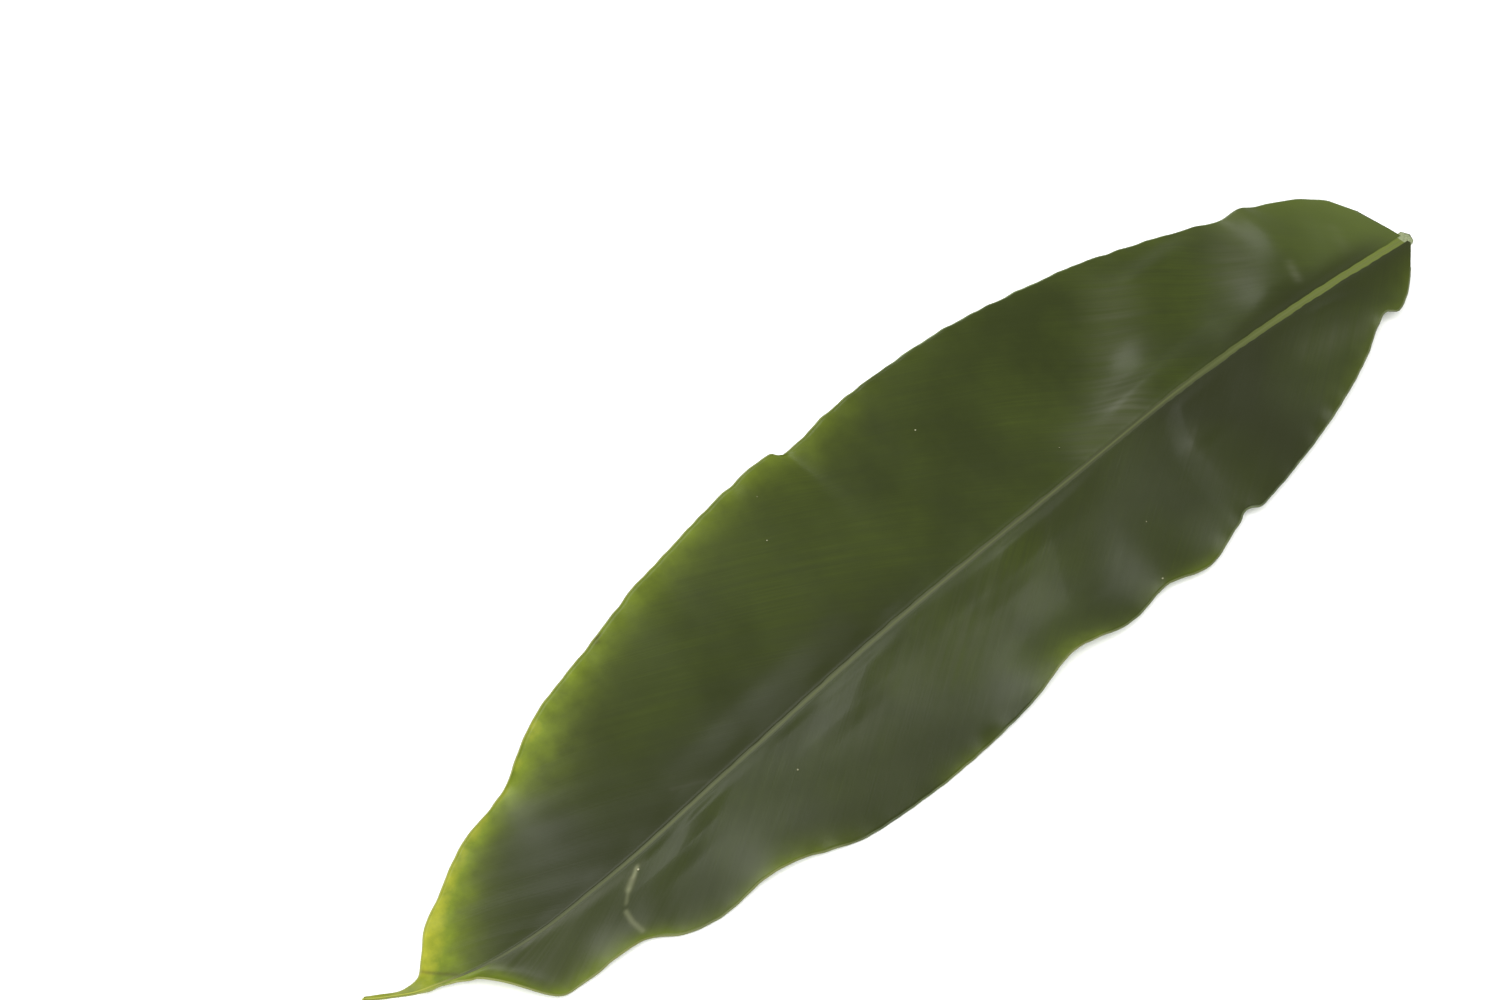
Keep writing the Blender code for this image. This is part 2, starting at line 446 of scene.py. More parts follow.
@dataclass(frozen=True)
class Half:
    """One half of the blade, to one side of the midrib.

    Attributes:
        name: The half's name, as seen from the base with the upper side up.
        sign: 1 for the left half and -1 for the right one.
        outline: The edge as (station, offset).
        lines: Where the cross line from a station of the midrib meets the edge.
        level: The height of the edge's underside by station.
        cup: How the blade rises to it: 1 is straight, and more leaves it flat at the midrib.
        waves: The edge's waves as (station, height, half length).
        folds: The folds along cross lines.
        veins: Where the vein from a station of the midrib meets the edge.
        bow: How straight the veins run: 1 is straight, and less bends them towards the tip.
        streaks: How far the veins stand out towards the tip, in mm.
        creases: The soft creases that catch the light.
        bands: The broad swellings across the half.
        yellowing: How yellow the edge has turned, by station.
        yellow_width: How far in the yellowing reaches, by station, in mm.
        zones: The stretches where its colour differs.
        strokes: The lines where its colour differs.
    """

    name: str
    sign: int
    outline: Points
    lines: Points
    level: Points
    cup: float
    waves: Points
    folds: tuple[Fold, ...]
    veins: Points
    bow: float
    streaks: float
    creases: tuple[Crease, ...]
    bands: tuple[Band, ...]
    yellowing: Points
    yellow_width: Points
    zones: tuple[Zone, ...]
    strokes: tuple[Stroke, ...]

    def beside_keel(self, root: Numbers) -> Numbers:
        """The offset where the blade meets the keel."""
        return smooth(MIDRIB_PLAN, root) + self.sign * smooth(KEEL_HALF_WIDTH, root)

    def edge(self, station: Numbers) -> Numbers:
        """The blade's own edge, a little inside the outline.

        Args:
            station: One station or an array of them.

        Returns:
            The edge's offset at each station.
        """
        beside = self.beside_keel(station)
        least_room, most_inset = 0.3, 0.4
        room = np.maximum(self.sign * (smooth(self.outline, station) - beside), least_room)
        # The wear comes and goes every 7 mm, more here and less there over 17 mm.
        wear = 0.5 + 0.5 * np.sin(station * 0.9) * np.sin(station * 0.37 + 1)
        inset = np.minimum(RIM_INSET + RIM_WEAR * wear, most_inset * room)
        return beside + self.sign * (room - inset)

    def on_vein(self, root: Numbers, end: Numbers, share: Numbers) -> tuple[Numbers, Numbers]:
        """Points along the veins.

        Args:
            root: Each vein's station on the midrib.
            end: Each vein's station on the edge.
            share: How far along each vein, from 0 at the midrib to 1 at the edge.

        Returns:
            The points' stations and offsets.
        """
        bowed = self.bow * share + (1 - self.bow) * share**2
        keel = self.beside_keel(root)
        return root + (end - root) * bowed, keel + (self.edge(end) - keel) * share

    def calm_edge(self, station: Numbers) -> Numbers:
        """The outline with its notches smoothed away.

        Args:
            station: One station or an array of them.

        Returns:
            The smoothed outline's offset at each station.
        """
        reach = 7
        spread = np.arange(-reach, reach + 1.0)
        weights = np.hanning(len(spread) + 2)[1:-1]
        found = sum(w * smooth(self.outline, station + s) for s, w in zip(spread, weights))
        return found / weights.sum()

    def cross_line(self, along: Numbers, across: Numbers) -> tuple[Numbers, Numbers]:
        """The solid's own coordinates of points of the plan, found by steps.

        Args:
            along: The points' stations.
            across: The points' offsets.

        Returns:
            The station on the midrib of each point's cross line, and its share of the way out.
        """
        steps, pace, least_room = 25, 0.6, 1.5
        root = np.array(along, float)
        for _ in range(steps):
            keel = self.beside_keel(root)
            end = smooth(self.lines, root)
            room = np.maximum(self.sign * (self.calm_edge(end) - keel), least_room)
            share = np.clip(self.sign * (across - keel) / room, 0, 1)
            root += pace * (along - (end - root) * share - root)
        return root, share

    def lie(self, along: Numbers, across: Numbers) -> Numbers:
        """How high the underside lies above the table, as in the solid.

        Args:
            along: The points' stations.
            across: The points' offsets.

        Returns:
            The height at each point, in mm.
        """
        root, share = self.cross_line(along, across)
        middle = midrib_height(root)
        height = middle + (smooth(self.level, along) - middle) * share**self.cup
        for station, rise, half_length in self.waves:
            height += rise * swell(along - station, half_length) * share**WAVE_RISE
        for fold in self.folds:
            height += fold.relief(root, share)
        for station, offset, depth, half_length, half_width in DENTS:
            hollow = swell(along - station, half_length) * swell(across - offset, half_width)
            height -= depth * hollow * blend(share - DENTS_BEGIN, DENTS_SOFT)
        return on_table(height) + FLAT_GAP

    def relief(self, spots: Spots) -> np.ndarray:
        """What the living blade adds to its lie: creases, bands, unevenness and an uneven edge.

        Args:
            spots: The points.

        Returns:
            The added height at each point, in mm.
        """
        root, along = spots.root, spots.along
        added = RIPPLE * ripple(along, spots.across, *RIPPLE_WAVES, SEED + self.sign)
        edge = EDGE_RIPPLE * ripple(along, 0 * along, *EDGE_WAVES, SEED + 5)
        added += edge * swell(spots.inside, EDGE_REACH)
        streaks = self.streaks * ripple(root, 0 * root, *STREAK_WAVES, SEED + 9)
        added += streaks * blend(along - STREAKS_FROM, STREAKS_SOFT)
        for form in (*self.creases, *self.bands):
            added += form.relief(spots)
        return added * blend(spots.out - CALM_BESIDE_MIDRIB / 2, CALM_BESIDE_MIDRIB)

    def changes(self, spots: Spots) -> dict[str, np.ndarray]:
        """Where the blade's colour changes.

        Args:
            spots: The points.

        Returns:
            The strength of each change, from 0 to 1, by its measure's name.
        """
        found = {change: np.zeros_like(spots.along) for change in Change}
        inwards = (spots.inside / smooth(self.yellow_width, spots.along)) ** YELLOW_POWER
        found[Change.YELLOW] += smooth(self.yellowing, spots.along) * np.exp(-inwards)
        for mark in (*self.zones, *self.strokes):
            found[mark.change] += mark.share(spots)
        return {change.value: np.clip(share, 0, 1) for change, share in found.items()}


LEFT = Half(
    name="left",
    sign=1,
    outline=(
        (12, 11.3), (17, 15.0), (22, 17.8), (25.8, 19.3), (26.8, 19.4), (27.5, 18.7), (28.9, 17.4),
        (29.8, 17.4), (34, 18.9), (44, 23.9), (62, 30.7), (82, 35.9), (99, 39.4), (103.6, 40.2),
        (104.6, 40.2), (106.4, 38.9), (113, 40.5), (129, 44.4), (139, 41.9), (157, 43.9),
        (173, 41.7), (190, 44.6), (203, 45.8), (233, 46.5), (248, 45.1), (262, 40.7), (272, 39.3),
        (288, 39.2), (296, 36.8), (301, 33.6), (310, 32.7), (320, 32.2), (328, 30.4), (332, 25.6),
        (336, 19.9), (339.5, 15.6), (344, 12.5), (348.5, 11.0), (352, 8.3), (356, 5.5),
        (358.6, 4.0), (360.9, 2.9),
    ),
    lines=((6, 12), (42, 27.8), (93, 105.3), (288, 299), (360.5, 360.9)),
    level=(
        (6, 5.2), (24, 4.6), (60, 3.6), (100, 3.2), (140, 2.4), (200, 2.2), (240, 0.8), (288, 0.4),
        (325, 0.4), (340, 2.6), (361, 1.6),
    ),
    cup=1.6,
    waves=(
        (60, 1.0, 14), (128, -0.6, 8), (139, 0.5, 8), (173, 3.6, 15), (222, -1.4, 26),
        (268, 2.8, 13), (311, 2.4, 8), (335, 3.0, 7),
    ),
    folds=(
        Fold(42, 16.0, 20.0, 0.8, 24, 1.3),
        Fold(93, 12.0, 20.0, 0.9, 50, 2.0),
        Fold(288, 8.0, 14.0, 1.6, 20, 2.0),
    ),
    veins=(
        (6, 12), (9, 21), (12.5, 33), (17, 48), (23, 66), (32, 90), (54, 127), (86, 157),
        (120, 190), (134, 205), (166, 233), (211, 263), (246, 290), (268, 309), (288, 322),
        (302, 330), (316, 335), (330, 339.5), (340, 344.3), (346, 348.4), (350, 350.8),
        (360.2, 360.4),
    ),
    bow=1.0,
    streaks=0.022,
    creases=(
        Crease(((0, 154), (2, 159), (4.5, 163), (7, 168), (10.5, 175)), 0.45, 20, 18),
        Crease(((0, 206), (2, 210), (4.7, 214), (6, 218), (9.5, 225)), 0.3, 18, 20),
        Crease(((0, 267), (2, 271), (3, 274), (5, 278), (7, 283)), 0.35, 16, 16),
        Crease(((1, 141), (8, 149), (15, 154), (25, 161)), 0.36, 20, 18, 6.0),
        Crease(((3, 93), (8, 97), (15, 101)), 0.3, 18, 7, 4.0),
        Crease(((15, 101), (31, 105), (42, 105)), 0.28, 18, 8, 8.0),
        Crease(((1, 44), (6, 36), (15, 28), (20, 26)), 0.5, 10, 9, 3.0),
    ),
    bands=(),
    yellowing=(
        (6, 0.1), (60, 0.08), (80, 0.02), (110, 0.02), (138, 0.16), (150, 0.05), (178, 0.27),
        (192, 0.0), (217, 0.15), (226, 0.0), (242, 0.0), (256, 0.2), (275, 0.32),
        (288, 0.16), (298, 0.32), (318, 0.36), (328, 0.34), (340, 0.6), (350, 0.6), (361, 0.55),
    ),
    yellow_width=(
        (6, 3.0), (60, 2.5), (138, 2.5), (178, 3.5), (200, 2.0), (256, 4.0), (266, 3.0),
        (275, 2.0), (300, 2.2), (318, 3.0), (330, 2.5), (342, 8.0), (361, 12.0),
    ),
    # Of these, the lush ones are painted shade and the wax ones painted sheen.
    zones=(
        Zone(Change.PAINTED_SHADE, 0.7, 12, 75, 45, out=10.0),
        Zone(Change.PAINTED_SHADE, 0.55, 85, 135, 40),
        Zone(Change.PAINTED_SHADE, 0.3, 225, 320, 40),
        Zone(Change.PAINTED_SHEEN, 0.45, 262, 330, 20, inside=7.0),
        Zone(Change.PAINTED_SHEEN, 0.45, 335, BEYOND, 60),
        Zone(Change.MARK, 0.16, 353, BEYOND, 6),
    ),
    strokes=(
        Stroke(Change.PAINTED_SHADE, 0.4, ((82, -10), (82, 60)), 14.0),
        Stroke(Change.PAINTED_SHADE, 0.35, ((196, 39), (250, 39)), 9.0),
        Stroke(Change.PAINTED_SHEEN, 0.35, ((34, 19), (44, 14), (54, 12)), 5.0),
        Stroke(Change.PAINTED_SHEEN, 0.28, ((172, 18), (225, 22)), 12.0),
        Stroke(Change.PAINTED_SHEEN, 0.5, ((290, 16.6), (302, 17.0), (325, 16.4)), 0.9),
        Stroke(Change.PAINTED_SHEEN, 0.5, ((94, 6), (98, 11)), 1.0),
        Stroke(Change.PAINTED_SHEEN, 0.6, ((99, 11.5), (102.5, 15)), 2.4),
        Stroke(Change.PAINTED_SHEEN, 0.3, ((103, 17), (104, 27), (104.5, 38)), 4.0),
        Stroke(Change.SCAR, 0.9, ((292.2, 16.7), (294.4, 18.2)), 0.45),
        Stroke(Change.SCAR, 0.6, ((295.2, 18.6), (297.6, 20.1)), 0.7),
        Stroke(Change.SCAR, 0.4, ((297.6, 20.1), (300.4, 22.6)), 0.4),
        Stroke(Change.SCAR, 0.7, ((301.8, 24.2), (302.4, 27.2), (302.2, 30.6)), 0.45),
        Stroke(Change.MARK, 0.7, ((295.1, 18.6), (295.1, 18.601)), 0.55),
    ),
)

RIGHT = Half(
    name="right",
    sign=-1,
    outline=(
        (6, -13.2), (8.6, -20.6), (12, -25.3), (20, -30.6), (28.5, -34.7), (35.5, -36.2),
        (44, -39.5), (56, -43.4), (70, -46.4), (106, -50.9), (142, -53.2), (170, -52.0),
        (183, -49.8), (187, -49.8), (191, -50.8), (197, -50.8), (206, -50.0), (232, -45.2),
        (243, -42.7), (268, -34.9), (285, -29.6), (303, -19.9), (322, -12.2), (332, -6.2),
        (339, -2.2), (344, 2.8), (348, 6.7), (353, 6.5), (357, 3.9), (360.1, 1.9),
    ),
    lines=((6, 6), (40, 36), (182, 189), (360.5, 360.1)),
    level=(
        (6, 4.6), (36, 4.2), (58, 5.6), (85, 9.3), (127, 12.2), (156, 11.6), (206, 10.4),
        (243, 8.3), (284, 7.2), (303, 4.6), (323, 5.6), (338, 4.3), (350, 3.2), (361, 1.6),
    ),
    cup=1.1,
    waves=((31, 1.8, 5), (187, -1.2, 4), (243, 0.8, 6), (303, -1.6, 7)),
    folds=(Fold(182, 3.5, 14.0, 1.6, 14, 3.5),),
    veins=(
        (6, 6), (7.5, 20), (9.5, 40), (13, 62), (19, 84), (28, 106), (48, 140), (74, 170),
        (100, 197), (141, 232), (180, 264), (206, 284), (232, 303), (258, 320), (280, 332),
        (300, 340), (318, 345), (332, 348), (344, 350), (350, 351.8), (354, 354.6),
        (360.2, 359.9),
    ),
    bow=0.7,
    streaks=0.04,
    creases=(),
    bands=(
        Band(100, 1.0, 1.9, 14, 14, 7, 34),
        Band(52, 1.0, 0.9, 12, 10, 8, 44),
        Band(30, 0.8, 0.5, 8, 8, 6, 22),
    ),
    yellowing=(
        (6, 0.05), (60, 0.05), (140, 0.05), (155, 0.08), (162, 0.18), (180, 0.28), (200, 0.3),
        (224, 0.38), (236, 0.48), (250, 0.38), (262, 0.46), (276, 0.5), (286, 0.6), (300, 0.62),
        (316, 0.74), (328, 0.8), (338, 0.84), (347, 0.78), (353, 0.62), (361, 0.6),
    ),
    yellow_width=(
        (6, 4.0), (60, 4.0), (140, 4.0), (162, 5.5), (240, 5.2), (270, 6.0), (288, 7.5),
        (302, 4.6), (332, 7.0), (340, 9.0), (361, 12.0),
    ),
    # Of these, the lush ones are painted shade and the wax ones painted sheen.
    zones=(
        Zone(Change.YOUNG, 0.75, -BEYOND, -8, 60),
        Zone(Change.PAINTED_SHADE, 0.75, 22, 60, 20, out=5.5),
        Zone(Change.PAINTED_SHADE, 0.8, 215, 310, 40, out=13.0),
        Zone(Change.PAINTED_SHEEN, 0.3, 335, BEYOND, 60),
        Zone(Change.MARK, 0.16, 353, BEYOND, 6),
    ),
    strokes=(
        Stroke(Change.PAINTED_SHADE, 0.4, ((276, -18), (300, -4)), 9.0),
        Stroke(Change.PAINTED_SHEEN, 0.9, ((272.2, 5.8), (267.9, 7.3), (264.3, 9.0)), 0.7),
        Stroke(Change.PAINTED_SHEEN, 0.15, ((288, -22), (299, -14.5)), 4.0),
        Stroke(Change.PAINTED_SHEEN, 0.45, ((104, -10), (82, -34)), 8.0),
        Stroke(Change.PAINTED_SHEEN, 0.5, ((122, -3), (106, -5)), 7.0),
        Stroke(Change.PAINTED_SHEEN, 0.45, ((50, -17), (34, -34)), 8.0),
        Stroke(Change.PAINTED_SHEEN, 0.8, ((35.4, -11.8), (38.0, -6.6)), 1.3),
        Stroke(Change.PAINTED_SHEEN, 0.4, ((16.5, -13), (20.5, -5.0)), 2.0),
        Stroke(Change.MARK, 0.9, ((258.5, -38.4), (260.5, -36.4)), 0.6),
        Stroke(Change.MARK, 0.4, ((347.5, 5.5), (344, 9.0), (341, 12.0)), 0.5),
    ),
)


def feed(node: bpy.types.Node, inputs: dict[str | int, Any]) -> None:
    """Sets some of a node's inputs.

    Args:
        node: The node.
        inputs: For each input, by name or place, a value or the output that feeds it.
    """
    for key, value in inputs.items():
        if isinstance(value, Socket):
            node.id_data.links.new(value, node.inputs[key])
        else:
            node.inputs[key].default_value = value


def add(
    tree: Tree,
    kind: str,
    inputs: dict[str | int, Any] | None = None,
    out: str | int = 0,
    **settings: Any,
) -> Socket | None:
    """Adds a node with its settings, its values and its links.

    Args:
        tree: The tree that gets the node.
        kind: The node's kind, as Blender names it.
        inputs: For each input, by name or place, a value or the output that feeds it.
        out: The output to give back, by name or place.
        **settings: The node's own settings.

    Returns:
        That output, or nothing from a node without outputs.
    """
    node = tree.nodes.new(kind)
    for name, value in settings.items():
        setattr(node, name, value)
    feed(node, inputs or {})
    return node.outputs[out] if node.outputs else None


def start_material(name: str) -> tuple[Material, Tree]:
    """Makes a material around a Principled shader.

    Args:
        name: The material's name.

    Returns:
        The material and its tree.
    """
    material = bpy.data.materials.new(name)
    material.use_nodes = True
    return material, material.node_tree


@dataclass(frozen=True)
class Layer:
    """A colour laid over those below it.

    Attributes:
        source: What says where it shows: an output, or the name of one of the mesh's measures.
        low: The source's value where it begins to show.
        high: The source's value where it shows most.
        tint: The colour.
        most: How much of it shows there, as a number or an output.
        eased: Whether it eases in and out.
    """

    source: Socket | str
    low: float
    high: float
    tint: str
    most: Socket | float = 1.0
    eased: bool = False


@dataclass(frozen=True)
class Tissue:
    """What the finishes of living tissue share.

    Attributes:
        name: The material's name.
    """

    name: str

    def mottle(self, tree: Tree, size: float, detail: float = 4.0, rough: float = 0.55) -> Socket:
        """Soft noise over the piece.

        Args:
            tree: The material's tree.
            size: How large its patches are, in mm.
            detail: How many finer layers it has.
            rough: How strong those are.

        Returns:
            The noise's output, from 0 to 1.
        """
        place = add(tree, "ShaderNodeTexCoord", out="Object")
        inputs = {"Vector": place, "Scale": 1 / (size * MM), "Detail": detail, "Roughness": rough}
        return add(tree, "ShaderNodeTexNoise", inputs)

    def grain(
        self,
        tree: Tree,
        measures: tuple[str, str],
        sizes: tuple[float, float],
        detail: float,
        rough: float,
    ) -> Socket:
        """Noise that runs along two of the mesh's measures.

        Args:
            tree: The material's tree.
            measures: The two measures' names.
            sizes: How far a grain reaches in each.
            detail: How many finer layers the noise has.
            rough: How strong those are.

        Returns:
            The noise's output, from 0 to 1.
        """
        first, second = (
            add(tree, "ShaderNodeAttribute", out="Fac", attribute_name=name) for name in measures
        )
        place = add(tree, "ShaderNodeCombineXYZ", {"X": first, "Y": second})
        scale = (1 / sizes[0], 1 / sizes[1], 1.0)
        place = add(tree, "ShaderNodeMapping", {"Vector": place, "Scale": scale})
        inputs = {"Vector": place, "Scale": 1.0, "Detail": detail, "Roughness": rough}
        return add(tree, "ShaderNodeTexNoise", inputs)

    def dress(
        self,
        tree: Tree,
        base: str,
        layers: list[Layer],
        relief: tuple[Socket, float, float],
        inputs: dict[str, Any],
    ) -> None:
        """Gives the shader its colours, its fine relief and its other values.

        Args:
            tree: The material's tree.
            base: The lowest colour.
            layers: The colours over it, the lowest first.
            relief: The relief's output, its strength, and its height in mm.
            inputs: The shader's other inputs.
        """
        colour = linear(base)
        for layer in layers:
            source = layer.source
            if isinstance(source, str):
                source = add(tree, "ShaderNodeAttribute", out="Fac", attribute_name=source)
            shown = {"Value": source, "From Min": layer.low, "From Max": layer.high}
            shown["To Max"] = layer.most
            easing = "SMOOTHSTEP" if layer.eased else "LINEAR"
            share = add(tree, "ShaderNodeMapRange", shown, interpolation_type=easing)
            mixed = {0: share, 6: colour, 7: linear(layer.tint)}
            colour = add(tree, "ShaderNodeMix", mixed, 2, data_type="RGBA")
        height, strength, depth = relief
        bumps = {"Height": height, "Strength": strength, "Distance": depth * MM}
        bump = add(tree, "ShaderNodeBump", bumps)
        shader = tree.nodes["Principled BSDF"]
        feed(shader, {"Base Color": colour, "Normal": bump, "Metallic": 0.0, **inputs})


@dataclass(frozen=True)
class BladeSkin(Tissue):
    """Fresh leaf blade, grown: a waxy cuticle over green tissue with fine parallel veins.

    The waxy cuticle gives a real, broad sheen. Grey painted sheen and deep green painted shade are
    laid into its colour as well, and the veins break the painted sheen up into fine streaks.

    Attributes:
        deep: The darker green.
        green: The lighter green.
        streak: The colour of the finest streaks between the veins.
        young: The brighter green at the base.
        painted_shade: Painted shade: a deep green beside the midrib and where the blade lies in
            shade.
        turning: The yellow-green of an edge that begins to turn.
        turned: The yellow of an edge that has turned.
        wax: Painted sheen: the grey laid where the blade catches the light.
        mark: The brown of bruises.
        scar: The pale lips of healed cracks.
        roughness: How matt the waxy cuticle is.
        fine_streaks: The width and length of the finest streaks, in mm.
        broad_streaks: The width and length of the broad ones, in mm.
        patches: The size of the lighter patches, in mm.
        edge_patches: The size of the patches in which the edge turns, in mm.
        edge_contrast: How much more the edge turns in its strongest patches.
        edge_least: How much it turns in the weakest ones.
        least_sheen: How much of the painted sheen shows between its streaks.
        strays: How far the roughness strays from its value, downwards and upwards.
    """

    deep: str
    green: str
    streak: str
    young: str
    painted_shade: str
    turning: str
    turned: str
    wax: str
    mark: str
    scar: str
    roughness: float
    fine_streaks: tuple[float, float] = (0.8, 14)
    broad_streaks: tuple[float, float] = (3.5, 40)
    patches: float = 26
    edge_patches: float = 6
    edge_contrast: float = 1.6
    edge_least: float = 0.2
    least_sheen: float = 0.4
    strays: tuple[float, float] = (-0.05, 0.09)

    def material(self) -> Material:
        """Builds the material.

        Returns:
            The finished material.
        """
        material, tree = start_material(self.name)
        fine = self.grain(tree, ("vein", "out"), self.fine_streaks, 3.0, 0.6)
        broad = self.grain(tree, ("vein", "out"), self.broad_streaks, 3.0, 0.6)
        # The painted sheen lies in streaks, and the turned edge comes and goes by its patches.
        spread = {"Value": broad, "From Min": NOISE_LOW, "From Max": NOISE_HIGH}
        sheen_shown = add(tree, "ShaderNodeMapRange", {**spread, "To Min": self.least_sheen})
        yellow = add(tree, "ShaderNodeAttribute", out="Fac", attribute_name=Change.YELLOW.value)
        patch = self.mottle(tree, self.edge_patches)
        uneven = {0: patch, 1: self.edge_contrast, 2: self.edge_least}
        uneven = add(tree, "ShaderNodeMath", uneven, operation="MULTIPLY_ADD")
        edge = add(tree, "ShaderNodeMath", {0: uneven, 1: yellow}, operation="MULTIPLY")
        layers = [
            Layer(self.mottle(tree, self.patches), NOISE_LOW, NOISE_HIGH, self.green),
            Layer(broad, NOISE_LOW, NOISE_HIGH, self.deep, 0.3),
            Layer(fine, NOISE_LOW, NOISE_HIGH, self.streak, 0.35),
            # Painted sheen: grey where the blade catches the light, in streaks.
            Layer(Change.PAINTED_SHEEN.value, 0, 1, self.wax, sheen_shown),
            Layer(Change.YOUNG.value, 0, 1, self.young),
            # Painted shade: deep green where the blade lies in shade.
            Layer(Change.PAINTED_SHADE.value, 0, 1, self.painted_shade),
            Layer(edge, 0, 0.5, self.turning),
            Layer(edge, 0.5, 1, self.turned),
            Layer(Change.MARK.value, 0, 1, self.mark),
            Layer(Change.SCAR.value, 0, 1, self.scar),
        ]
        glossiest, dullest = (self.roughness + stray for stray in self.strays)
        gloss = {"Value": broad, "To Min": glossiest, "To Max": dullest}
        gloss = add(tree, "ShaderNodeMapRange", gloss)
        inputs = {"Roughness": gloss, "IOR": WAX_IOR, "Specular IOR Level": WAX_SHINE}
        self.dress(tree, self.deep, layers, (fine, 0.2, 0.1), inputs)
        return material


@dataclass(frozen=True)
class MidribSkin(Tissue):
    """Fresh midrib, grown: juicy green tissue with fibres running along it.

    The fibres give the eye fine pale and dark lines along its length. Its pale middle is partly its
    own colour and partly a painted highlight, and its darker sides are partly painted shade.

    Attributes:
        base: The colour at the cut end.
        middle: The colour halfway along.
        tip: The colour towards the tip.
        pale_lit_centre: The colour of the pale line along the middle, partly its own and partly a
            painted highlight.
        fibre_and_shaded_flank: The colour of the darker strips beside it, partly painted shade, and
            of the darker fibres.
        turned: The yellow of the drawn-out tip.
        roughness: How matt it is.
        fibres: A fibre's length, in mm, and its width as a share of the midrib's half width.
    """

    base: str
    middle: str
    tip: str
    pale_lit_centre: str
    fibre_and_shaded_flank: str
    turned: str
    roughness: float = 0.4
    fibres: tuple[float, float] = (1 / 0.03, 1 / 6)

    def material(self) -> Material:
        """Builds the material.

        Returns:
            The finished material.
        """
        material, tree = start_material(self.name)
        fibre = self.grain(tree, ("along", "beside"), self.fibres, 4.0, 0.65)
        # The darker a fibre, the more it takes the flank's colour.
        layers = [
            Layer("along", 4, 110, self.middle, eased=True),
            Layer("along", 110, 220, self.tip, eased=True),
            # The darker sides are partly painted shade, and the pale middle partly a painted
            # highlight.
            Layer("off_centre", 0.4, 0.75, self.fibre_and_shaded_flank, eased=True),
            Layer("off_centre", 0.3, 0, self.pale_lit_centre, fibre, eased=True),
            Layer(fibre, 0.65 / 1.2, -0.35 / 1.2, self.fibre_and_shaded_flank),
            Layer("along", 338, 352, self.turned, eased=True),
        ]
        inputs = {"Roughness": self.roughness, "IOR": WAX_IOR, "Specular IOR Level": WAX_SHINE}
        self.dress(tree, self.base, layers, (fibre, 0.4, 0.15), inputs)
        return material


@dataclass(frozen=True)
class PlainTissue(Tissue):
    """Leaf tissue of one colour with a fine mottle, such as a cut end, a ridge or a rim.

    The mottle keeps it from looking painted.

    Attributes:
        light: The lighter colour.
        dark: The darker colour.
        size: The size of the mottle, in mm.
        roughness: How matt it is.
        turned: The yellow that it turns along with the blade's edge, where it does.
    """

    light: str
    dark: str
    size: float
    roughness: float = 0.5
    turned: str = ""

    def material(self) -> Material:
        """Builds the material.

        Returns:
            The finished material.
        """
        material, tree = start_material(self.name)
        mottle = self.mottle(tree, self.size, 3.0, 0.5)
        layers = [Layer(mottle, NOISE_LOW, NOISE_HIGH, self.light)]
        if self.turned:
            layers.append(Layer(Change.YELLOW.value, 0, 1, self.turned))
        self.dress(tree, self.dark, layers, (mottle, 0.3, 0.1), {"Roughness": self.roughness})
        return material


class Skin(Enum):
    """The leaf's finishes, each named for the tissue that it shows."""

    # Each blade skin has two painted colours: a deep green as painted shade and a grey as painted
    # sheen.
    UPPER = BladeSkin(
        name="leaf_blade_upper_waxy_green",
        deep="#242b08", green="#30390d", streak="#202708", young="#4a5621", painted_shade="#1e2208",
        turning="#5c6a18", turned="#929326", wax="#454835", mark="#33261a", scar="#66694c",
        roughness=0.3,
    )
    UNDER = BladeSkin(
        name="leaf_blade_under_pale_green",
        deep="#63714a", green="#75835a", streak="#57653f", young="#8b9a5c", painted_shade="#65763f",
        turning="#929c54", turned="#a5ae5c", wax="#8f9a7a", mark="#4a3a22", scar="#a5a784",
        roughness=0.55,
    )
    # Both midrib skins have a pale middle that is partly a painted highlight and darker sides that
    # are partly painted shade.
    MIDRIB = MidribSkin(
        name="midrib_upper_fibrous_green",
        base="#555f24", middle="#32361d", tip="#3e422b", pale_lit_centre="#51572f", fibre_and_shaded_flank="#303716",
        turned="#8f9238",
    )
    KEEL = MidribSkin(
        name="midrib_keel_pale_green",
        base="#9aa861", middle="#93a066", tip="#8a9660", pale_lit_centre="#a5b07a", fibre_and_shaded_flank="#7c8a52",
        turned="#a5ae5c", roughness=0.45,
    )
    CUT = PlainTissue("midrib_cut_pale_pith", "#7c8460", "#626b48", 0.5, 0.7)
    RIDGE = PlainTissue("vein_ridge_pale_green", "#8f9c6e", "#7c8a5a", 1.5)
    PALE_RIM = PlainTissue("leaf_rim_pale_green", "#55633a", "#3b471b", 9.0, 0.5, "#898c38")
    RIM = PlainTissue("leaf_rim_green", "#3e4823", "#2e3815", 9.0, 0.5, "#858934")
    SPECK = PlainTissue("dust_speck_pale", "#8f8e72", "#6f6d50", 1.0, 0.8)


def to_part(points: np.ndarray) -> np.ndarray:
    """Turns plan points in mm into the part's own metres."""
    return (points - np.array([*MIDDLE, 0.0])) * MM


def put(name: str, data: Any) -> Piece:
    """Puts an object into the scene at the origin.

    Args:
        name: The object's name.
        data: Its mesh, in the part's own metres, or its light or camera.

    Returns:
        The new object.
    """
    made = bpy.data.objects.new(name, data)
    bpy.context.scene.collection.objects.link(made)
    return made


